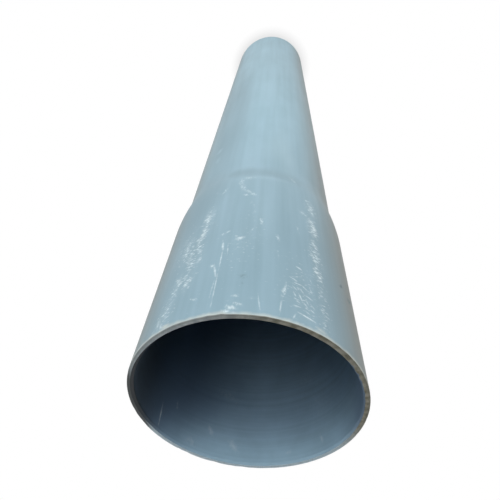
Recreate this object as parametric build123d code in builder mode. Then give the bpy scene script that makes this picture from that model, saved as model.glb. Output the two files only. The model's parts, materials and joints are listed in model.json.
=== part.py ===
from build123d import *
import os
from math import sqrt

# A length of PVC-U well pipe with a belled socket, standing on its plain end.
# It is one piece: an extruded pipe whose top end was heated and pushed over a mandrel, so that the plain
# end of the next length slides into it.
# Millimetres, +Z up along the pipe from the plain end to the socket's mouth. The origin is the middle of
# the plain end, on the floor.

# Driving sizes of the extruded pipe
outside_diameter = 315.0
wall = 9.2
overall_length = 2000.0

# Belled socket at the top end
socket_depth = 335.0
socket_clearance = 0.8
shoulder_length = 130.0
lead_in_length = 4.0
lead_in_angle = 27.0
mouth_edge_radius = 1.0

# Plain end, chamfered to enter a socket
spigot_chamfer_length = 17.0
spigot_chamfer_angle = 15.0

# Radii that follow from those sizes
outer_radius = outside_diameter / 2
bore_radius = outer_radius - wall
socket_radius = outer_radius + socket_clearance

# Belling stretches the wall and adds no material, so the bell keeps the barrel's section area.
bell_radius = sqrt(socket_radius**2 + outer_radius**2 - bore_radius**2)

# Heights of the two ends of the shoulder
shoulder_top = overall_length - socket_depth
shoulder_foot = shoulder_top - shoulder_length


def shoulder(start, end):
    """Draws the ogee between two radii: two tangent arcs that leave both points along the pipe."""
    middle = ((start[0] + end[0]) / 2, (start[1] + end[1]) / 2)
    first_arc = TangentArc(start, middle, tangent=(0, end[1] - start[1]))
    TangentArc(middle, end, tangent=first_arc % 1)


with BuildPart() as pipe:
    # One side of the wall is drawn with its radius along X and its height along Z, then turned about Z.
    with BuildSketch(Plane.XZ):
        with BuildLine():
            # Outside, from the plain end to the mouth
            Line((outer_radius, 0), (outer_radius, shoulder_foot))
            shoulder((outer_radius, shoulder_foot), (bell_radius, shoulder_top))
            Line((bell_radius, shoulder_top), (bell_radius, overall_length))
            Line((bell_radius, overall_length), (socket_radius, overall_length))
            # Inside, back to the plain end
            Line((socket_radius, overall_length), (socket_radius, shoulder_top))
            shoulder((socket_radius, shoulder_top), (bore_radius, shoulder_foot))
            Line((bore_radius, shoulder_foot), (bore_radius, 0))
            Line((bore_radius, 0), (outer_radius, 0))
        make_face()
    revolve(axis=Axis.Z)

    # The circles at the two ends and the straight walls, smallest first
    circles = pipe.edges().filter_by(GeomType.CIRCLE).group_by(Axis.Z)
    mouth_inner_edge, mouth_outer_edge = circles[-1].sort_by(SortBy.RADIUS)
    spigot_outer_edge = circles[0].sort_by(SortBy.RADIUS)[-1]
    walls = pipe.faces().filter_by(GeomType.CYLINDER).sort_by(SortBy.RADIUS)
    bore_wall, barrel_wall, socket_wall, bell_wall = walls

    # The plain end tapers to enter a socket, and the socket's mouth opens to let it in.
    chamfer(
        spigot_outer_edge, spigot_chamfer_length, angle=spigot_chamfer_angle, reference=barrel_wall
    )
    chamfer(mouth_inner_edge, lead_in_length, angle=lead_in_angle, reference=socket_wall)
    fillet(mouth_outer_edge, mouth_edge_radius)
pipe.part.label = "pipe"

os.makedirs("parts", exist_ok=True)
export_step(pipe.part, "parts/pipe.step")
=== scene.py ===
# %% [markdown]
# # A length of well pipe with a belled socket
# The object is one piece of blue-grey PVC-U: an extruded pipe whose upper end was heated and pushed over a
# mandrel, so that the plain end of the next length slides into it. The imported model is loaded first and
# stays as it is. Everything below is in metres in that same frame, with +Z along the pipe from the plain
# end on the floor to the socket's mouth.

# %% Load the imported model
import json
import math
import random

import bmesh
import bpy
from mathutils import Matrix, Vector


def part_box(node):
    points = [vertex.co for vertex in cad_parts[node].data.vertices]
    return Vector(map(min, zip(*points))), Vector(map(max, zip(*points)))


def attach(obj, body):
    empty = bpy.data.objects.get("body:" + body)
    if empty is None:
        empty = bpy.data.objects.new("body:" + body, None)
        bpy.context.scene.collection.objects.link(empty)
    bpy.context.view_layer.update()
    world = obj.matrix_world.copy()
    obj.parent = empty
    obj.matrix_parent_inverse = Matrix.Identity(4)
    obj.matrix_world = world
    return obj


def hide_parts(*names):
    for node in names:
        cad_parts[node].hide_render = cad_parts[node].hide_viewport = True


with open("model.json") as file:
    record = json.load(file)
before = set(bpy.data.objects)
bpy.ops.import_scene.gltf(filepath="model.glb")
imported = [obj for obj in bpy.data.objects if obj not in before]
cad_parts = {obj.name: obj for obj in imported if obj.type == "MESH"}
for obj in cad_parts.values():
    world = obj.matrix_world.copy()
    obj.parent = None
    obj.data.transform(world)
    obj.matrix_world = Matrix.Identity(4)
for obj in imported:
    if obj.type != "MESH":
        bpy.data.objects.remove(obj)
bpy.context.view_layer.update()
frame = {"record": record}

# %% [markdown]
# ## Sizes
# The record lists the places where this pipe joins others, with their radii and lengths in millimetres.
# Reading them keeps the visible pipe on the solid. Only the small edges have no entry there, so they are
# written out.

# %% Read the pipe's sizes
MM = 0.001
mounts = {mount["name"]: mount["dims"] for mount in frame["record"]["mounts"]}
barrel_radius = mounts["spigot"]["r_mm"] * MM
bore_radius = mounts["barrel_bore"]["r_mm"] * MM
socket_radius = mounts["socket"]["r_mm"] * MM
bell_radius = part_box("pipe")[1][0]
mouth_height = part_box("pipe")[1][2]

lead_in_length = 4 * MM
lead_in_angle = math.radians(27)
chamfer_angle = math.radians(15)
mouth_edge_radius = 1 * MM
shoulder_foot = mounts["barrel_bore"]["length_mm"] * MM
shoulder_top = mouth_height - lead_in_length - mounts["socket"]["length_mm"] * MM
chamfer_length = shoulder_foot - mounts["spigot"]["length_mm"] * MM
print(f"barrel's radius {barrel_radius:.4f} outside, {bore_radius:.4f} inside")
print(f"bell's radius {bell_radius:.4f} outside, {socket_radius:.4f} inside")
print(f"shoulder from {shoulder_foot:.3f} to {shoulder_top:.3f}, mouth at {mouth_height:.3f}")

# %% [markdown]
# ## Camera
# The photograph was taken from about half a metre in front of the mouth, above the pipe, looking down its
# length. The pipe is stored standing, so the same view looks steeply down past the mouth, and the side of
# the pipe that is uppermost in the photograph is its front, towards -Y. That side is also up in the
# picture, so the camera is turned by its own three axes and not by a tracking rule, which would put +Z up.
# The small shift moves the picture off the lens's axis, as a cropped photograph is.

# %% Place the camera
photo_up = Vector((0, -1, 0))
camera_place = Vector((-0.0048, -0.5170, 2.3705))
camera_target = Vector((0.0817, 0.0, 1.6433))

forward = (camera_target - camera_place).normalized()
right = forward.cross(photo_up).normalized()
up = right.cross(forward)

lens = bpy.data.cameras.new("camera")
lens.sensor_width = 36
lens.lens = 31.11
lens.shift_x = 0.067
lens.shift_y = 0.004
camera = bpy.data.objects.new("camera", lens)
camera.matrix_world = Matrix.Translation(camera_place) @ Matrix((right, up, -forward)).transposed().to_4x4()
bpy.context.scene.collection.objects.link(camera)
bpy.context.scene.camera = camera
print("camera looks along", [round(part, 3) for part in forward])

# %% [markdown]
# ## The wall's section
# A pipe is its wall's section turned about its axis. The section needs only its corners. The shoulder is
# an ogee, two arcs that run into each other and leave both walls without a kink, so each of its corners
# stands where the tangents of one arc meet, and a bevel of that length draws the arc. The worn edges at
# the ends are small bevels of the same kind.

# %% Work out the ends and the ogee
spigot_tip_radius = barrel_radius - chamfer_length * math.tan(chamfer_angle)
lead_in_radius = socket_radius + lead_in_length * math.tan(lead_in_angle)


def tangent_length(small_radius, large_radius):
    """How far from the shoulder's ends the tangents of its arcs meet."""
    half_rise = (large_radius - small_radius) / 2
    half_run = (shoulder_top - shoulder_foot) / 2
    chord_angle = math.atan2(half_rise, half_run)
    arc_radius = math.hypot(half_rise, half_run) / (2 * math.sin(chord_angle))
    return arc_radius * math.tan(chord_angle)


outer_tangent = tangent_length(barrel_radius, bell_radius)
inner_tangent = tangent_length(bore_radius, socket_radius)
print(f"plain end's tip {spigot_tip_radius:.4f}, lead-in {lead_in_radius:.4f}")
print(f"ogee's tangents meet {outer_tangent:.4f} from its ends outside, {inner_tangent:.4f} inside")

# %% Draw the section's corners
section = {
    "plain end inside": (bore_radius, 0.0),
    "plain end outside": (spigot_tip_radius, 0.0),
    "chamfer": (barrel_radius, chamfer_length),
    "shoulder foot outside": (barrel_radius, shoulder_foot + outer_tangent),
    "shoulder top outside": (bell_radius, shoulder_top - outer_tangent),
    "mouth outside": (bell_radius, mouth_height),
    "mouth inside": (lead_in_radius, mouth_height),
    "lead in": (socket_radius, mouth_height - lead_in_length),
    "shoulder top inside": (socket_radius, shoulder_top - inner_tangent),
    "shoulder foot inside": (bore_radius, shoulder_foot + inner_tangent),
}

wall = bmesh.new()
corners = {name: wall.verts.new((radius, 0, height)) for name, (radius, height) in section.items()}
ring = list(corners.values())
for corner, following in zip(ring, ring[1:] + ring[:1]):
    wall.edges.new((corner, following))
print("section has", len(wall.verts), "corners")

# %% Round the corners
SHOULDER_SEGMENTS = 10
EDGE_SEGMENTS = 5
worn_edge_radius = 0.6 * MM
roundings = [
    (outer_tangent, SHOULDER_SEGMENTS, ("shoulder foot outside", "shoulder top outside")),
    (inner_tangent, SHOULDER_SEGMENTS, ("shoulder foot inside", "shoulder top inside")),
    (mouth_edge_radius, EDGE_SEGMENTS, ("mouth outside",)),
    (worn_edge_radius, EDGE_SEGMENTS, ("plain end inside", "plain end outside", "mouth inside")),
]
for radius, segments, names in roundings:
    bmesh.ops.bevel(
        wall, geom=[corners[name] for name in names], offset=radius, offset_type="OFFSET",
        segments=segments, profile=0.5, affect="VERTICES", clamp_overlap=False, material=-1,
    )
print("rounded section has", len(wall.verts), "points")

# %% [markdown]
# ## Turning the section
# Spin sweeps the section round the axis. A full turn has to merge its last column with its first. The
# columns are close enough together for the small nicks that the mouth gets.

# %% Spin the wall
COLUMNS = 400
MERGE_DISTANCE = 0.01 * MM
bmesh.ops.spin(
    wall, geom=wall.verts[:] + wall.edges[:], cent=(0, 0, 0), axis=(0, 0, 1),
    angle=2 * math.pi, steps=COLUMNS, use_merge=True,
)
bmesh.ops.remove_doubles(wall, verts=wall.verts, dist=MERGE_DISTANCE)
bmesh.ops.recalc_face_normals(wall, faces=wall.faces)
print("pipe has", len(wall.faces), "faces")

# %% [markdown]
# ## Surfaces and their unrolled map
# Three surfaces show: the skin that cooled in the sizing sleeve, the inside, and the ends that the saw
# left. Each face gets its material by where it lies and how steeply it faces along the pipe: the lead-in
# belongs to the inside, and the plain end's taper to the cut ends. The map unrolls the wall flat: across
# is the distance round the bell in metres from the front line outside, or from the back line inside, and
# up is the distance from the mouth. So a scratch can be placed with a tape measure.

# %% Sort the faces and unroll them
SKIN, INSIDE, SAW_CUT = 0, 1, 2
CHAMFER_LIMIT = math.radians(10)
LEAD_IN_LIMIT = math.radians(35)
unrolled = wall.loops.layers.uv.new("unrolled")


def angle_round(place, front=True):
    """Angle round the pipe, nought at the front or back line, growing to the right of the photograph."""
    return math.atan2(-place.x, -place.y if front else place.y)


for face in wall.faces:
    middle = face.calc_center_median()
    faces_out = face.normal.xy.dot(middle.xy) > 0
    on_end = abs(face.normal.z) > math.sin(CHAMFER_LIMIT if faces_out else LEAD_IN_LIMIT)
    face.material_index = SAW_CUT if on_end else SKIN if faces_out else INSIDE
    face.smooth = True
    middle_angle = angle_round(middle, faces_out)
    for loop in face.loops:
        angle = angle_round(loop.vert.co, faces_out)
        turns = round((middle_angle - angle) / (2 * math.pi))
        loop[unrolled].uv = ((angle + turns * 2 * math.pi) * bell_radius, mouth_height - loop.vert.co.z)

counts = [sum(face.material_index == kind for face in wall.faces) for kind in (SKIN, INSIDE, SAW_CUT)]
print("faces of skin, inside and saw cut", counts)

# %% [markdown]
# ## Nicks in the mouth's edges
# Knocks break a cut edge away unevenly, so the mouth of a used pipe is never a clean circle. Its edges have
# short nicks, and one long stretch of the inner edge, on the left of the picture, is worn back. Each only
# takes material away: it moves the inner edge outwards or the outer edge down, and it fades along the edge
# like a bell curve. The plainest are placed by their angle from the front line, and a seeded generator
# scatters small ones all round.

# %% List the nicks
# Each nick is its angle in degrees, its width along the edge and its depth.
outer_nicks = [(-12.0, 6 * MM, 1.2 * MM), (-33.0, 5 * MM, 0.6 * MM)]
inner_nicks = [
    (54.0, 4 * MM, 1.2 * MM), (60.0, 3 * MM, 1.8 * MM), (65.0, 5 * MM, 1.0 * MM),
    (-80.0, 85 * MM, 2.4 * MM),
]

SMALL_NICKS = 26
small_widths_mm = 2, 7
small_depths_mm = 0.2, 0.8
chance = random.Random(11)
for nicks in (outer_nicks, inner_nicks):
    for count in range(SMALL_NICKS):
        nicks.append((
            chance.uniform(-180, 180),
            chance.uniform(*small_widths_mm) * MM,
            chance.uniform(*small_depths_mm) * MM,
        ))
print(len(outer_nicks), "nicks in the outer edge and", len(inner_nicks), "in the inner one")

# %% Nick the edges
edge_zone = 1.5 * MM


def nick_depth(place, nicks):
    """How deep the deepest of these nicks is at this place on the edge."""
    depths = [0.0]
    for degrees, width, depth in nicks:
        turned = math.remainder(angle_round(place) - math.radians(degrees), 2 * math.pi)
        depths.append(depth * math.exp(-((turned * bell_radius / width) ** 2)))
    return max(depths)


nicked = 0
for vert in wall.verts:
    if mouth_height - vert.co.z > edge_zone:
        continue
    if vert.co.xy.length > bell_radius - edge_zone:
        vert.co.z -= nick_depth(vert.co, outer_nicks)
    else:
        outwards = vert.co.xy.normalized() * nick_depth(vert.co, inner_nicks)
        vert.co.xy += outwards
    nicked += 1
print("moved", nicked, "points of the mouth's edges")

# %% [markdown]
# ## The pipe's object
# The mesh becomes one object at the origin. It rides the solid's only body and stands for its node, so it
# takes the solid's place in the picture. Smooth shading would also round the corners at the ends, so edges
# that turn by more than a small angle are marked sharp.

# %% Make the pipe's object
SHARP_ANGLE = math.radians(20)
pipe_mesh = bpy.data.meshes.new("well_pipe")
wall.to_mesh(pipe_mesh)
wall.free()
pipe_mesh.set_sharp_from_angle(angle=SHARP_ANGLE)
pipe = bpy.data.objects.new("well_pipe", pipe_mesh)
bpy.context.scene.collection.objects.link(pipe)
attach(pipe, "root")
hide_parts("pipe")
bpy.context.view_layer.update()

# %% [markdown]
# ## Helpers for materials
# Colours are read off as sRGB hex and turned to linear once. Nodes are added by one function: settings are
# the node's own properties, and sockets take a number, a colour or the node that feeds them.

# %% Define the helpers


def colour(hex_code):
    """Linear RGBA of an sRGB hex colour."""
    parts = [int(hex_code[i:i + 2], 16) / 255 for i in (1, 3, 5)]
    return [p / 12.92 if p <= 0.04045 else ((p + 0.055) / 1.055) ** 2.4 for p in parts] + [1.0]


def add(tree, kind, sockets=None, **settings):
    """Adds one node with its settings and links."""
    made = tree.nodes.new("ShaderNode" + kind)
    for name, value in settings.items():
        setattr(made, name, value)
    for key, value in (sockets or {}).items():
        named = [socket for socket in made.inputs if socket.enabled and socket.name == key]
        socket = made.inputs[key] if isinstance(key, int) else named[0]
        if isinstance(value, bpy.types.Node):
            value = next(output for output in value.outputs if output.enabled)
        if isinstance(value, bpy.types.NodeSocket):
            tree.links.new(value, socket)
        else:
            socket.default_value = value
    return made


def new_material(name):
    """An empty material on the pipe: its node tree and its output."""
    material = bpy.data.materials.new(name)
    material.use_nodes = True
    material.node_tree.nodes.clear()
    pipe_mesh.materials.append(material)
    return material.node_tree, add(material.node_tree, "OutputMaterial")


print("mid grey #808080 is", round(colour("#808080")[0], 3), "in linear light")

# %% [markdown]
# ## Extruded PVC-U skin
# The pipe cooled in a sizing sleeve, which leaves a satin skin with faint streaks along the pipe. The
# barrel is painted lighter than the bell: painted light, for the barrel lay in brighter light. The flanks
# are painted grey-brown, partly a film of dust from the ground and partly painted shade and a painted
# reflection of the ground, thickest on the bell, thinner along the barrel and round the back. Patterns that
# go all round read Object coordinates, so that they have no seam. What is counted from the front line or
# from the mouth reads the unrolled map.

# %% Tint the skin
skin, skin_output = new_material("extruded_pvc_u_weathered_skin")
place = add(skin, "TexCoord").outputs["Object"]
flat = add(skin, "UVMap", uv_map="unrolled")
flat_parts = add(skin, "SeparateXYZ", {"Vector": flat})
from_front = flat_parts.outputs["X"]
from_mouth = flat_parts.outputs["Y"]


def long_noise(tree, width, length, detail):
    """Noise drawn out along the pipe, with grains of this width and length."""
    spot = add(tree, "TexCoord").outputs["Object"]
    stretched = add(tree, "Mapping", {"Vector": spot, "Scale": (1 / width, 1 / width, 1 / length)})
    return add(tree, "TexNoise", {"Vector": stretched, "Scale": 1.0, "Detail": detail})


streak_width, streak_length = 16 * MM, 500 * MM
patch_width, patch_length = 90 * MM, 220 * MM
barrel_ramp_start, barrel_ramp_end = 150 * MM, 900 * MM
streaks = long_noise(skin, streak_width, streak_length, 3.0)
patches = long_noise(skin, patch_width, patch_length, 3.0)
uneven = add(skin, "Math", {0: streaks, 1: 0.8, 2: patches}, operation="MULTIPLY_ADD")
tone = add(skin, "MapRange", {"Value": uneven, "From Min": 0.6, "From Max": 1.2})
# Painted light: the skin is painted lighter from the bell to the far barrel, which lay in brighter light.
painted_barrel_light = add(skin, "MapRange", {
    "Value": from_mouth, "From Min": barrel_ramp_start, "From Max": barrel_ramp_end}, interpolation_type="SMOOTHSTEP")
bell_tint = add(skin, "Mix", {
    "Factor": tone, "A": colour("#89A6B3"), "B": colour("#9AB7C5")}, data_type="RGBA")
barrel_tint = add(skin, "Mix", {
    "Factor": tone, "A": colour("#9ABDCB"), "B": colour("#AACCDB")}, data_type="RGBA")
tinted = add(skin, "Mix", {"Factor": painted_barrel_light, "A": bell_tint, "B": barrel_tint}, data_type="RGBA")
print(f"skin fades from {barrel_ramp_start:.2f} to {barrel_ramp_end:.2f} metres from the mouth")

# %% Dust and shade the flanks
clear_line = -18 * MM
flank_cover_start, flank_cover_full = 96 * MM, 205 * MM
back_start, back_full = 240 * MM, 460 * MM
bell_flank_cover, barrel_flank_cover, back_flank_cover = 0.82, 0.60, 0.4


def coated(tree, ground, coats):
    """A ground colour under coats of other colours, each as dense as its cover says."""
    for cover, hex_code in coats:
        ground = add(tree, "Mix", {"Factor": cover, "A": ground, "B": colour(hex_code)}, data_type="RGBA")
    return ground


# Partly dust, partly painted light: away from the front the flanks are painted grey-brown, for their shade
# and the warm reflection of the ground.
off_clear = add(skin, "Math", {0: from_front, 1: clear_line}, operation="SUBTRACT")
off_crown = add(skin, "Math", {0: off_clear}, operation="ABSOLUTE")
flank = add(skin, "MapRange", {
    "Value": off_crown, "From Min": flank_cover_start, "From Max": flank_cover_full}, interpolation_type="SMOOTHSTEP")
behind = add(skin, "MapRange", {
    "Value": off_crown, "From Min": back_start, "From Max": back_full, "To Min": 1.0, "To Max": back_flank_cover},
    interpolation_type="SMOOTHSTEP")
flank_cover_depth = add(skin, "MapRange", {
    "Value": from_mouth, "From Min": barrel_ramp_start, "From Max": barrel_ramp_end,
    "To Min": bell_flank_cover, "To Max": barrel_flank_cover})
side_dust_and_shade = add(skin, "Math", {0: flank, 1: behind}, operation="MULTIPLY")
flank_dust_and_shade = add(skin, "Math", {0: side_dust_and_shade, 1: flank_cover_depth}, operation="MULTIPLY")
dusted_and_shaded = coated(skin, tinted, [(flank_dust_and_shade, "#7C7D75")])
print(f"dust begins {flank_cover_start:.3f} metres to each side of a line {-clear_line:.3f} left of the front")

# %% [markdown]
# ## Marks on the bell
# Hauling has marked the bell. PVC turns chalky white where it is scratched, so most of the marks are pale.
# Each is a stroke between two places, given as degrees from the front line and millimetres from the mouth,
# with its width in millimetres and how plainly it shows. Those in front are measured on the photograph, and
# those behind are set one by one. Written like this, a mark can be moved or changed by hand. Scratches will
# waver, fine lines stay straight, and scuffs are bands of leaning flecks. The rest are soft: stains,
# painted shade and darker tone, painted highlights and painted light with two pale spots, and smears at the
# rim.

# %% List the scratches
scratches = [
    # hook-shaped scrape below the shoulder
    ((-11.0, 371), (-5.0, 374), 16, 0.75),
    ((-11.6, 370), (-12.2, 345), 12, 0.78),
    ((-12.0, 347), (-9.5, 320), 12, 0.75),
    ((-9.5, 322), (-5.0, 308), 12, 0.78),
    ((-8.4, 301), (-7.2, 301), 9, 0.85),
    ((-4.8, 306), (-2.4, 300), 10, 0.85),
    # flecks down the front
    ((-4.6, 276), (-4.0, 270), 6, 0.55),
    ((-2.6, 266), (-2.2, 258), 6, 0.50),
    ((-1.7, 247), (-2.2, 238), 6, 0.55),
    ((-5.0, 233), (-4.4, 226), 6, 0.45),
    ((1.6, 222), (2.8, 203), 6, 0.85),
    ((-1.5, 194), (-2.8, 183), 6, 0.55),
    ((-3.6, 182), (-4.6, 176), 6, 0.45),
    # smudges and a slanted dash to the left of the front
    ((-18.2, 180), (-17.2, 181), 8, 0.75),
    ((-15.4, 184), (-14.4, 186), 8, 0.75),
    ((-10.0, 161), (-6.2, 167), 10, 0.90),
    ((-20.4, 103), (-19.4, 100), 9, 0.80),
    ((-13.3, 139), (-7.5, 136), 4, 0.40),
    # dashes to the right of the front
    ((10.6, 181), (11.8, 165), 6, 0.75),
    ((10.6, 143), (11.8, 120), 7, 0.45),
    ((22.4, 226), (22.8, 204), 5, 0.50),
    ((15.0, 71), (13.2, 42), 7, 0.90),
    # short scrapes near the shoulder
    ((-20.9, 340), (-23.3, 320), 8, 0.70),
    ((-29.0, 342), (-25.6, 326), 9, 0.45),
    ((20.6, 408), (23.6, 386), 12, 0.60),
    # marks close to the mouth
    ((-7.8, 34), (-6.2, 34), 6, 0.80),
    ((-6.4, 20), (-4.2, 17), 8, 0.85),
    ((-9.2, 13), (-6.9, 11), 9, 1.00),
    ((-11.6, 6), (-7.8, 5), 7, 0.95),
    ((-0.6, 30), (1.4, 31), 8, 0.50),
    ((-27.6, 41), (-25.2, 36), 6, 0.85),
    ((-42.6, 16), (-41.8, 6), 10, 0.70),
    ((-45.2, 28), (-43.8, 9), 14, 0.75),
]
print(len(scratches), "scratches")

# %% List the fine lines
fine_lines = [
    # long thin scratches to the left of the front
    ((-16.8, 160), (-16.2, 136), 4.0, 0.64),
    ((-16.2, 138), (-16.4, 92), 2.6, 0.60),
    ((-16.4, 96), (-17.0, 9), 2.4, 0.50),
    ((-19.2, 104), (-17.2, 74), 3.4, 0.62),
    ((-17.4, 76), (-18.6, 26), 2.4, 0.40),
    ((-13.9, 152), (-13.4, 122), 2.8, 0.45),
    # two near the mouth, to the right of the front
    ((12.8, 38), (12.0, 10), 3.0, 0.50),
    ((2.6, 39), (4.0, 7), 2.6, 0.50),
    # scribble low on the right
    ((20.6, 115), (23.0, 112), 3.4, 0.76),
    ((16.8, 87), (20.2, 83), 2.8, 0.68),
    ((18.6, 78), (23.2, 77), 2.6, 0.63),
    ((22.4, 78), (25.8, 70), 2.8, 0.63),
    ((24.6, 60), (27.3, 56), 2.8, 0.63),
    ((18.2, 33), (21.3, 33), 2.8, 0.63),
    ((20.7, 22), (28.4, 17), 3.2, 0.83),
    ((20.9, 58), (22.4, 46), 2.8, 0.63),
    ((18.4, 58), (19.4, 50), 3.0, 0.58),
    ((25.7, 37), (28.2, 33), 2.8, 0.60),
    ((17.5, 8), (19.0, 18), 3.0, 0.60),
    ((22.8, 45), (25.0, 37), 2.6, 0.56),
    ((26.5, 82), (28.0, 68), 2.6, 0.53),
    ((17.8, 70), (20.0, 64), 2.6, 0.50),
    ((23.6, 30), (26.0, 26), 2.6, 0.53),
    ((19.6, 44), (21.2, 40), 2.8, 0.50),
    ((21.4, 70), (23.4, 62), 2.8, 0.50),
    ((24.0, 52), (25.4, 44), 2.8, 0.48),
    ((26.8, 46), (28.6, 40), 2.8, 0.48),
    ((19.0, 90), (21.6, 94), 2.8, 0.48),
    ((27.0, 100), (28.4, 90), 2.8, 0.48),
]
print(len(fine_lines), "fine lines")

# %% List the scuffs
scuffs = [
    # worn band on the left, fanning out towards the mouth
    ((-28.6, 272), (-29.6, 226), 20, 1.05),
    ((-32.0, 229), (-26.6, 226), 12, 1.00),
    ((-29.6, 226), (-31.2, 172), 20, 1.05),
    ((-31.2, 180), (-29.6, 140), 18, 0.90),
    ((-28.8, 134), (-28.4, 124), 13, 1.00),
    ((-40.0, 205), (-38.6, 140), 46, 0.72),
    ((-33.0, 150), (-33.6, 104), 32, 0.74),
    ((-36.0, 172), (-34.6, 126), 26, 0.84),
    ((-33.5, 114), (-34.8, 84), 30, 0.70),
    ((-30.8, 92), (-33.6, 66), 22, 0.78),
    ((-37.6, 104), (-38.6, 66), 30, 0.80),
    ((-40.4, 64), (-42.8, 8), 30, 0.74),
    # worn band on the right
    ((32.0, 328), (33.6, 292), 24, 1.00),
    ((26.0, 278), (28.6, 274), 16, 0.90),
    ((32.0, 268), (33.2, 218), 22, 1.10),
    ((32.2, 205), (32.4, 180), 20, 1.00),
    ((31.8, 176), (33.8, 144), 26, 1.12),
    ((32.0, 146), (32.8, 102), 22, 0.90),
    ((33.4, 106), (34.0, 62), 24, 0.74),
    ((33.6, 66), (33.0, 16), 30, 0.62),
    # scratched patches low on the right, and between the hook and the mouth
    ((21.8, 112), (24.0, 8), 62, 0.50),
    ((-3.0, 200), (-8.0, 110), 70, 0.34),
    # rubbed along the back and the flanks, where the pipe was dragged
    ((152.0, 60), (156.0, 260), 40, 0.80),
    ((-160.0, 90), (-163.0, 330), 46, 0.85),
    ((166.0, 520), (169.0, 900), 34, 0.75),
    ((-150.0, 700), (-148.0, 1150), 30, 0.70),
    ((158.0, 1250), (161.0, 1700), 36, 0.75),
    ((-167.0, 1400), (-165.0, 1850), 40, 0.75),
    ((-112.0, 480), (-110.0, 620), 24, 0.80),
    ((104.0, 900), (107.0, 1060), 22, 0.80),
    ((-97.0, 120), (-99.0, 290), 26, 0.80),
    ((118.0, 1400), (121.0, 1750), 28, 0.80),
    ((-124.0, 1250), (-121.0, 1600), 26, 0.80),
]
print(len(scuffs), "scuffs")

# %% List the soft marks
stains = [
    # smudge at the front, and spots on the right flank
    ((-6.4, 73), (-3.4, 73), 14, 0.40),
    ((-4.6, 62), (-4.4, 56), 8, 0.30),
    ((58.0, 130), (62.0, 138), 12, 0.80),
    ((50.2, 140), (52.2, 147), 9, 0.70),
]
# Painted shade, and darker tone round the worn bands, laid over the skin in blue-grey.
shades = [
    # painted shade along the shoulder, where its curve turns from the light, above the hook
    ((-12.0, 404), (27.0, 404), 56, 0.6),
    ((-24.0, 409), (-3.0, 408), 52, 0.72),
    # painted shade on the left side of the barrel and of the bell, which gets less light
    ((-38.0, 1250), (-34.0, 475), 110, 1.0),
    ((-36.0, 440), (-43.0, 250), 96, 1.0),
    # around the worn band on the left
    ((-28.0, 262), (-26.5, 105), 70, 0.44),
    ((-38.0, 190), (-36.0, 90), 56, 0.34),
    # darker under the scribble and the worn band on the right, and painted shade on the right flank
    ((22.0, 112), (25.0, 24), 66, 0.54),
    ((33.4, 220), (34.0, 20), 56, 0.44),
    ((37.5, 165), (38.5, 10), 84, 0.54),
]
# Painted highlights and painted light, and two pale spots, laid over the skin in a pale blue.
highlights_and_spots = [
    # painted highlight on the crest of the shoulder, next to the hook
    ((-12.0, 376), (20.0, 376), 26, 0.6),
    # painted light on the front of the bell
    ((1.0, 330), (1.0, 165), 120, 0.40),
    ((17.0, 350), (19.0, 225), 64, 0.42),
    # painted highlights in stripes on the barrel, right of the front
    ((9.0, 640), (10.5, 438), 50, 0.7),
    ((15.0, 640), (17.5, 436), 52, 0.9),
    ((19.6, 560), (20.0, 450), 44, 0.9),
    # two spots on the left of the barrel
    ((-40.4, 606), (-40.6, 596), 18, 0.9),
    ((-39.8, 552), (-39.8, 534), 16, 0.7),
]
rim_smears = [
    # where the worn bands reach the rim
    ((-41.0, 7), (-37.5, 5), 11, 1.10),
    ((29.0, 9), (34.0, 6), 13, 0.80),
]
print(len(stains), "stains,", len(shades), "shades,", len(highlights_and_spots), "glazes,", len(rim_smears), "rim smears")

# %% [markdown]
# ## Drawing the marks
# The marks could be painted on an image, but that would fix how sharp they are. Here a Mapping node
# stretches a round gradient over each stroke, so it stays fixed to the pipe and is sharp from any distance.
# Noise then breaks the strokes up, so that none keeps a clean edge. Real grit scratches in tenths of a
# millimetre, which is too fine to show in the picture, so grit and flecks are drawn about ten times as
# coarse.

# %% Draw strokes as stretched gradients
REACH = 1.5


def strokes(tree, across, marks):
    """The strongest of these strokes at each place, nought away from them all."""
    total = 0.0
    for start, end, width, strength in marks:
        ends = [Vector((math.radians(angle) * bell_radius, along * MM)) for angle, along in (start, end)]
        run = ends[1] - ends[0]
        middle = (ends[0] + ends[1]) / 2
        half_size = (run.length + width * MM) / 2 * REACH, width * MM / 2 * REACH
        spot = add(tree, "Mapping", {
            "Vector": across, "Location": (*middle, 0), "Rotation": (0, 0, math.atan2(run.y, run.x)),
            "Scale": (*half_size, 1)}, vector_type="TEXTURE")
        round_spot = add(tree, "TexGradient", {"Vector": spot}, gradient_type="SPHERICAL")
        mark = add(tree, "Math", {0: round_spot.outputs["Fac"], 1: strength}, operation="MULTIPLY")
        total = add(tree, "Math", {0: total, 1: mark}, operation="MAXIMUM")
    return total


print("a stroke fades out at", REACH, "times its half width")

# %% Make the noises that break strokes up
wander_size, wander_reach = 7 * MM, 6 * MM
wander = add(skin, "TexNoise", {"Vector": place, "Scale": 1 / wander_size, "Detail": 2.0})
centred = add(skin, "VectorMath", {0: wander.outputs["Color"], 1: (0.5, 0.5, 0.5)}, operation="SUBTRACT")
wavering = add(skin, "VectorMath", {
    0: centred, 1: (wander_reach, wander_reach, 0), 2: flat}, operation="MULTIPLY_ADD")

grit_width, grit_length = 2.6 * MM, 4.5 * MM
grit = long_noise(skin, grit_width, grit_length, 3.0)
fleck_width, fleck_length, fleck_lean = 2.8 * MM, 7.5 * MM, math.radians(38)
leaning = add(skin, "Mapping", {
    "Vector": flat, "Rotation": (0, 0, fleck_lean), "Scale": (1 / fleck_length, 1 / fleck_width, 1)})
flecks = add(skin, "TexNoise", {"Vector": leaning, "Scale": 1.0, "Detail": 4.0})
worn_width, worn_length = 12 * MM, 18 * MM
worn_patches = long_noise(skin, worn_width, worn_length, 3.0)
print("skin has", len(skin.nodes), "nodes before its marks")

# %% Break the pale marks up


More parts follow.
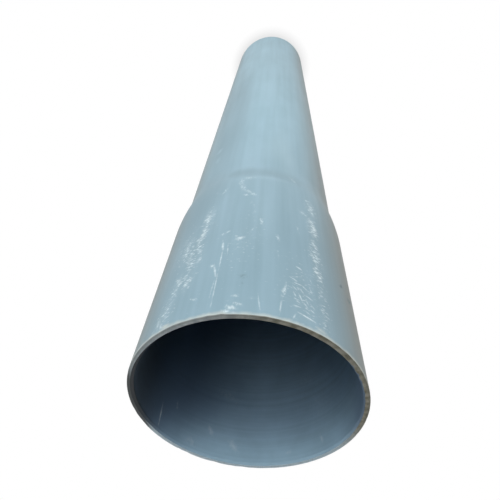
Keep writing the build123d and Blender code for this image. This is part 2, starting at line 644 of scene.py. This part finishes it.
def broken(tree, mask, grain, roughness, low, high):
    """A mask broken up by a grain: the weaker the mask, the fewer of the grains show."""
    ragged = add(tree, "Math", {0: grain, 1: roughness, 2: mask}, operation="MULTIPLY_ADD")
    return add(tree, "MapRange", {
        "Value": ragged, "From Min": low + roughness / 2, "From Max": high + roughness / 2},
        interpolation_type="SMOOTHSTEP")


scratch_marks = strokes(skin, wavering, scratches)
scratched = broken(skin, scratch_marks, grit, 1.4, 0.25, 1.20)
fine_scratched = broken(skin, strokes(skin, flat, fine_lines), grit, 0.6, 0.10, 0.75)
rubbing = add(skin, "MapRange", {
    "Value": worn_patches, "From Min": 0.3, "From Max": 0.7, "To Min": 0.6, "To Max": 1.3})
rubbed_bands = add(skin, "Math", {0: strokes(skin, wavering, scuffs), 1: rubbing}, operation="MULTIPLY")
scuffed = broken(skin, rubbed_bands, flecks, 3.0, 0.50, 1.20)
handled = broken(skin, patches, grit, 2.4, 1.00, 1.90)

# A faint haze of fine chalk lies round every scratch and scuff.
HAZE = 0.12
touched = add(skin, "Math", {0: scratch_marks, 1: rubbed_bands}, operation="MAXIMUM")
haze = add(skin, "MapRange", {"Value": touched, "To Max": HAZE}, interpolation_type="SMOOTHSTEP")
chalk = scratched
for layer in (fine_scratched, scuffed, handled, haze):
    chalk = add(skin, "Math", {0: chalk, 1: layer}, operation="MAXIMUM")
print("pale marks bring the skin to", len(skin.nodes), "nodes")

# %% Lay the soft marks
SHADE_DENSITY, HIGHLIGHT_AND_SPOT_DENSITY = 0.5, 0.35
rim_band, rim_edge = 11 * MM, 1 * MM
stained = broken(skin, strokes(skin, wavering, stains), grit, 0.6, 0.15, 0.8)
shaded = add(skin, "MapRange", {
    "Value": strokes(skin, flat, shades), "From Max": 0.7, "To Max": SHADE_DENSITY},
    interpolation_type="SMOOTHSTEP")
highlight_and_spot_cover = add(skin, "MapRange", {
    "Value": strokes(skin, flat, highlights_and_spots), "To Max": HIGHLIGHT_AND_SPOT_DENSITY}, interpolation_type="SMOOTHSTEP")
# Along the mouth the skin is paler: partly wear, partly a painted highlight on the rounded edge.
rim_near = add(skin, "MapRange", {"Value": from_mouth, "From Min": rim_band, "From Max": rim_edge})
rim_marks = add(skin, "Math", {0: rim_near, 1: strokes(skin, flat, rim_smears)}, operation="MAXIMUM")
rim_wear_and_highlight = broken(skin, rim_marks, worn_patches, 0.9, 0.35, 1.15)
print("soft marks bring it to", len(skin.nodes), "nodes")

# %% [markdown]
# ## Finishing the skin
# The colours go over each other from the softest mark to the sharpest. PVC's refractive index is 1.53, and
# its satin skin has a roughness of about a half. Weather has taken some of the shine, so the specular level
# is lowered, and scratched PVC is chalky, so the skin is rougher there.

# %% Colour the marks and finish the skin
PVC_IOR = 1.53
WEATHERED_SHINE = 0.3
SATIN, CHALKY = 0.5, 0.8
RIM_DENSITY, CHALK_DENSITY = 0.65, 0.85
line_height = 0.4 * MM
rim_share = add(skin, "Math", {0: rim_wear_and_highlight, 1: RIM_DENSITY}, operation="MULTIPLY")
chalk_share = add(skin, "Math", {0: chalk, 1: CHALK_DENSITY}, operation="MULTIPLY")
skin_tint = coated(skin, dusted_and_shaded, [
    (shaded, "#7F9AA6"), (highlight_and_spot_cover, "#BAD6E1"), (stained, "#5F7478"),
    (rim_share, "#D3D8CF"), (chalk_share, "#DCEBEF"),
])
skin_roughness = add(skin, "MapRange", {"Value": chalk, "To Min": SATIN, "To Max": CHALKY})
skin_lines = add(skin, "Math", {0: streaks, 1: 0.5, 2: grit}, operation="MULTIPLY_ADD")
skin_relief = add(skin, "Bump", {"Height": skin_lines, "Strength": 0.05, "Distance": line_height})
skin_shader = add(skin, "BsdfPrincipled", {
    "Base Color": skin_tint, "Roughness": skin_roughness, "IOR": PVC_IOR,
    "Specular IOR Level": WEATHERED_SHINE, "Normal": skin_relief})
skin.links.new(skin_shader.outputs[0], skin_output.inputs["Surface"])
print("skin has", len(skin.nodes), "nodes")

# %% [markdown]
# ## Inside of the socket
# The mandrel pressed the inside smooth, with faint rings across the pipe. The side that is lower in the
# picture is painted lighter, palest near the mouth: painted light, where light falls in at the mouth.
# Elsewhere the plastic keeps its darker colour, and on the left of the picture it is painted darker as
# painted shadow, darkest in the lead-in. A few pale scuffs show where a pipe was pushed in. They are
# strokes like those outside, counted from the back line.
# Such rings are about a millimetre apart, too fine to show in the picture, so they are drawn coarser.

# %% Paint light inside
inside, inside_output = new_material("mandrel_formed_pvc_u_socket")
inside_flat = add(inside, "UVMap", uv_map="unrolled")
inside_parts = add(inside, "SeparateXYZ", {"Vector": inside_flat})
from_back = inside_parts.outputs["X"]
depth = inside_parts.outputs["Y"]

# The middle of the painted light drifts to the right of the picture, deeper in the socket.
drift_depth = 110 * MM
lit_middle_near, lit_middle_deep = 40 * MM, 120 * MM
lit_core, lit_edge = 60 * MM, 245 * MM
pale_depth = 90 * MM
lit_line = add(inside, "MapRange", {
    "Value": depth, "From Min": 0.0, "From Max": drift_depth,
    "To Min": lit_middle_near, "To Max": lit_middle_deep})
off_line = add(inside, "Math", {0: from_back, 1: lit_line}, operation="SUBTRACT")
off_lit = add(inside, "Math", {0: off_line}, operation="ABSOLUTE")
painted_lit_side = add(inside, "MapRange", {
    "Value": off_lit, "From Min": lit_core, "From Max": lit_edge, "To Min": 1.0, "To Max": 0.0},
    interpolation_type="SMOOTHSTEP")
near_mouth = add(inside, "MapRange", {
    "Value": depth, "From Min": 0.0, "From Max": pale_depth, "To Min": 1.0, "To Max": 0.0},
    interpolation_type="SMOOTHSTEP")
# Painted light: palest near the mouth, where the light falls in.
painted_mouth_light = add(inside, "Math", {0: near_mouth, 1: painted_lit_side}, operation="MULTIPLY")
print(f"dust is thickest over {2 * lit_core:.2f} metres and thins out {lit_edge:.3f} from its middle")

# %% Ring and scuff the inside
blotch_size, ring_spacing = 45 * MM, 8 * MM
blotches = long_noise(inside, blotch_size, blotch_size, 3.0)
rings = add(inside, "TexNoise", {
    "W": depth, "Scale": 1 / ring_spacing, "Detail": 2.0}, noise_dimensions="1D")
mottled = add(inside, "Math", {0: rings, 1: 0.6, 2: blotches}, operation="MULTIPLY_ADD")
mottle = add(inside, "MapRange", {
    "Value": mottled, "From Min": 0.57, "From Max": 1.17, "To Min": 0.0, "To Max": 0.27})

inside_scuffs = [
    ((-56.6, 46), (-55.8, 9), 3, 0.90),
    ((-45.8, 70), (-45.4, 58), 5, 0.45),
    ((-20.8, 50), (-19.4, 42), 10, 0.65),
    ((-33.0, 16), (-30.5, 14), 14, 0.45),
    ((-6.6, 33), (-4.0, 25), 13, 0.65),
    ((49.4, 30), (50.2, 20), 6, 0.60),
    ((26.0, 18), (29.0, 18), 8, 0.40),
    ((-14.0, 128), (-8.0, 120), 22, 0.25),
    ((37.0, 154), (45.0, 136), 32, 0.26),
    ((44.0, 112), (54.0, 80), 44, 0.20),
]
inside_grit_width, inside_grit_length = 3 * MM, 4.5 * MM
inside_grit = long_noise(inside, inside_grit_width, inside_grit_length, 3.0)
inside_marks = strokes(inside, inside_flat, inside_scuffs)
inside_scuffed = broken(inside, inside_marks, inside_grit, 0.8, 0.05, 1.1)
print(len(inside_scuffs), "scuffs inside")

# %% Colour the inside
shadow_side_start, shadow_side_full = -135 * MM, -235 * MM
lead_in_shade_start, lead_in_shade_full = 7 * MM, 4 * MM
SHADOW_SIDE_DENSITY, SCUFF_DENSITY = 0.85, 0.6
ring_height = 0.5 * MM
# Painted shadow: the inside is painted dark on the left of the picture, and darkest in the lead-in there.
painted_shadow_side = add(inside, "MapRange", {
    "Value": from_back, "From Min": shadow_side_start, "From Max": shadow_side_full, "To Max": SHADOW_SIDE_DENSITY},
    interpolation_type="SMOOTHSTEP")
lip = add(inside, "MapRange", {"Value": depth, "From Min": lead_in_shade_start, "From Max": lead_in_shade_full})
painted_left_shade = add(inside, "Math", {0: lip, 1: painted_shadow_side}, operation="MULTIPLY")
scuff_share = add(inside, "Math", {0: inside_scuffed, 1: SCUFF_DENSITY}, operation="MULTIPLY")
inside_tint = coated(inside, colour("#596E85"), [
    (painted_shadow_side, "#2A2F31"), (painted_lit_side, "#95B4CC"), (painted_mouth_light, "#A0C2D6"),
    (mottle, "#4C5F6E"), (scuff_share, "#D4E2E8"), (painted_left_shade, "#101315"),
])
ring_relief = add(inside, "Bump", {"Height": rings, "Strength": 0.06, "Distance": ring_height})
inside_shader = add(inside, "BsdfPrincipled", {
    "Base Color": inside_tint, "Roughness": SATIN, "IOR": PVC_IOR,
    "Specular IOR Level": WEATHERED_SHINE, "Normal": ring_relief})
inside.links.new(inside_shader.outputs[0], inside_output.inputs["Surface"])
print("inside has", len(inside.nodes), "nodes")

# %% [markdown]
# ## Saw-cut ends
# A saw leaves PVC dull and finely lined, and the open grain takes up dirt. The rim is olive-grey and
# mottled with dirt on the right of the picture, scraped pale at the upper left, painted dark with painted
# shade at the left, and bare below, and its outer edge is darker. The lines run straight across the end, as
# the blade did. A saw's lines are tenths of a millimetre apart, so they are drawn coarser, or they wouldn't
# show.

# %% Find the rim's sides
saw_cut, saw_cut_output = new_material("saw_cut_pvc_u_end")
end_place = add(saw_cut, "TexCoord").outputs["Object"]

# Each side is a direction, the shares of the bell's radius where it starts and is full, and its density.
rim_sides = {
    "scraped": ((0.9, -0.45, 0.0), 0.10, 0.95, 1.0),
    "bare": ((0.0, 1.0, 0.0), 0.10, 0.62, 1.0),
    # The dark side at the left is painted shade, where the lead-in turns from the light.
    "painted_left_shade": ((0.99, 0.14, 0.0), 0.88, 0.94, 0.9),
}
covers = {}
for side, (towards, start, full, density) in rim_sides.items():
    reach = add(saw_cut, "VectorMath", {
        0: end_place, 1: Vector(towards).normalized()}, operation="DOT_PRODUCT")
    covers[side] = add(saw_cut, "MapRange", {
        "Value": reach.outputs["Value"], "From Min": start * bell_radius, "From Max": full * bell_radius,
        "To Max": density}, interpolation_type="SMOOTHSTEP")
print("the rim has sides that are", ", ".join(covers))

# %% Soil and line the ends
dirt_size = 9 * MM
kerf_width, kerf_length, kerf_turn = 1.2 * MM, 80 * MM, math.radians(35)
edge_start, edge_full = bell_radius - 4.5 * MM, bell_radius - 1.5 * MM
KERF_DENSITY, EDGE_DENSITY = 0.18, 0.35
dirt = long_noise(saw_cut, dirt_size, dirt_size, 4.0)
dirt_spread = add(saw_cut, "MapRange", {"Value": dirt, "From Min": 0.35, "From Max": 0.65})
kerf_spot = add(saw_cut, "Mapping", {
    "Vector": end_place, "Rotation": (0, 0, kerf_turn), "Scale": (1 / kerf_width, 1 / kerf_length, 1)})
kerf = add(saw_cut, "TexNoise", {"Vector": kerf_spot, "Scale": 1.0, "Detail": 2.0})
kerf_share = add(saw_cut, "MapRange", {
    "Value": kerf, "From Min": 0.3, "From Max": 0.7, "To Max": KERF_DENSITY})
across_end = add(saw_cut, "Mapping", {"Vector": end_place, "Scale": (1, 1, 0)})
from_axis = add(saw_cut, "VectorMath", {0: across_end}, operation="LENGTH").outputs["Value"]
dark_edge = add(saw_cut, "MapRange", {
    "Value": from_axis, "From Min": edge_start, "From Max": edge_full, "To Max": EDGE_DENSITY},
    interpolation_type="SMOOTHSTEP")
print(f"saw lines are drawn {kerf_width:.4f} metres wide")

# %% Colour the ends
SAWN = 0.75
kerf_depth = 0.3 * MM
soiled = coated(saw_cut, colour("#6C6956"), [(dirt_spread, "#A3A193")])
rubbed = coated(saw_cut, colour("#A9B5BB"), [(dirt_spread, "#C0CACE")])
half_clean = add(saw_cut, "Mix", {
    "Factor": covers["scraped"], "A": soiled, "B": rubbed}, data_type="RGBA")
end_tint = coated(saw_cut, half_clean, [
    (dark_edge, "#63675F"), (covers["bare"], "#C4D9E4"), (covers["painted_left_shade"], "#3A3E40"),
    (kerf_share, "#6F6E66"),
])
kerf_relief = add(saw_cut, "Bump", {"Height": kerf, "Strength": 0.3, "Distance": kerf_depth})
saw_cut_shader = add(saw_cut, "BsdfPrincipled", {
    "Base Color": end_tint, "Roughness": SAWN, "IOR": PVC_IOR,
    "Specular IOR Level": WEATHERED_SHINE, "Normal": kerf_relief})
saw_cut.links.new(saw_cut_shader.outputs[0], saw_cut_output.inputs["Surface"])
print("saw-cut ends have", len(saw_cut.nodes), "nodes")

# %% [markdown]
# ## Light
# The photograph was lit by a wide soft sky over the pipe. Standing up, the pipe gets the same light from a
# wide soft light in front, a little to the left in the picture, and a low fill all round, while little
# comes from above, so the socket falls away into the dark. A weaker soft light behind shows the back. The
# world gives that as a function of the direction: it is white for the camera and for reflections, and
# graded for everything else.

# %% Grade the light by direction
world = bpy.data.worlds.new("studio")
bpy.context.scene.world = world
world.use_nodes = True
sky = world.node_tree
sky.nodes.clear()

# Each soft light is the direction it comes from, the cosine off its middle where it ends, and its strength.
soft_lights = {
    "front": ((0.14, -0.98, -0.10), 0.35, 1.93),
    "back": ((0.0, 0.98, -0.20), 0.15, 1.6),
}
SOFT_CORE = 0.95
direction = add(sky, "TexCoord").outputs["Generated"]
softboxes = 0.0
for name, (side, edge, strength) in soft_lights.items():
    facing = add(sky, "VectorMath", {0: direction, 1: Vector(side).normalized()}, operation="DOT_PRODUCT")
    softbox = add(sky, "MapRange", {
        "Value": facing.outputs["Value"], "From Min": edge, "From Max": SOFT_CORE, "To Min": 0.0,
        "To Max": strength}, interpolation_type="SMOOTHSTEP")
    softboxes = add(sky, "Math", {0: softboxes, 1: softbox}, operation="ADD")
    print(name, "light has a strength of", strength)

# %% Fill in from all round, but not from above
FILL, FILL_LEAN = 0.75, (0.12, -0.1, 0.0)
CEILING_START, CEILING_FULL, CEILING_SHARE = 0.10, 0.40, 0.02
sides = add(sky, "VectorMath", {0: direction, 1: FILL_LEAN}, operation="DOT_PRODUCT")
fill = add(sky, "Math", {0: sides.outputs["Value"], 1: FILL}, operation="ADD")
height = add(sky, "SeparateXYZ", {"Vector": direction}).outputs["Z"]
ceiling = add(sky, "MapRange", {
    "Value": height, "From Min": CEILING_START, "From Max": CEILING_FULL,
    "To Min": 1.0, "To Max": CEILING_SHARE}, interpolation_type="SMOOTHSTEP")
low_fill = add(sky, "Math", {0: fill, 1: ceiling}, operation="MULTIPLY")
level = add(sky, "Math", {0: softboxes, 1: low_fill}, operation="ADD")
print("fill has a strength of", FILL)

# %% Show the background white


def seen_plainly(tree):
    """One for rays that show the background itself: to the camera, in a reflection or through glass."""
    path = add(tree, "LightPath")
    seen = add(tree, "Math", {
        0: path.outputs["Is Camera Ray"], 1: path.outputs["Is Glossy Ray"]}, operation="MAXIMUM")
    return add(tree, "Math", {0: seen, 1: path.outputs["Is Transmission Ray"]}, operation="MAXIMUM")


graded = add(sky, "Background", {"Color": colour("#FFFFFF"), "Strength": level})
white = add(sky, "Background", {"Color": colour("#FFFFFF"), "Strength": 1.0})
shown = add(sky, "MixShader", {0: seen_plainly(sky), 1: graded, 2: white})
add(sky, "OutputWorld", {"Surface": shown})
print("world has", len(sky.nodes), "nodes")

# %% [markdown]
# ## Floor
# A pale floor carries the pipe and takes its shadow. To the camera it is plain white, so that the picture's
# ground is white, with a soft, weak shadow only where the pipe stands close. Ambient occlusion gives that
# shadow without any grey further out. To all other light the floor is a pale matt paint.

# %% Lay the floor
FLOOR_HALF = 8.0
ground = bmesh.new()
bmesh.ops.create_grid(ground, x_segments=1, y_segments=1, size=FLOOR_HALF)
floor_mesh = bpy.data.meshes.new("floor")
ground.to_mesh(floor_mesh)
ground.free()
floor = bpy.data.objects.new("floor", floor_mesh)
bpy.context.scene.collection.objects.link(floor)
print("floor is", 2 * FLOOR_HALF, "metres across")

# %% Paint the floor
shadow_reach, shadow_depth = 50 * MM, 0.80
floor_material = bpy.data.materials.new("pale_floor")
floor_material.use_nodes = True
paint = floor_material.node_tree
paint.nodes.clear()
floor_mesh.materials.append(floor_material)
lit = add(paint, "BsdfDiffuse", {"Color": colour("#F4F4F4")})
contact = add(paint, "AmbientOcclusion", {"Distance": shadow_reach})
shadow = add(paint, "MapRange", {
    "Value": contact.outputs["AO"], "From Min": 0.5, "From Max": 1.0,
    "To Min": shadow_depth, "To Max": 1.0})
glow = add(paint, "Emission", {"Color": colour("#FFFFFF"), "Strength": shadow})
mixed = add(paint, "MixShader", {0: seen_plainly(paint), 1: lit, 2: glow})
add(paint, "OutputMaterial", {"Surface": mixed})
print(f"shadow reaches {shadow_reach:.2f} metres from the pipe")

# %% [markdown]
# ## Finish
# The colours go to the picture as they are.

# %% Finish
bpy.context.scene.view_settings.view_transform = "Standard"
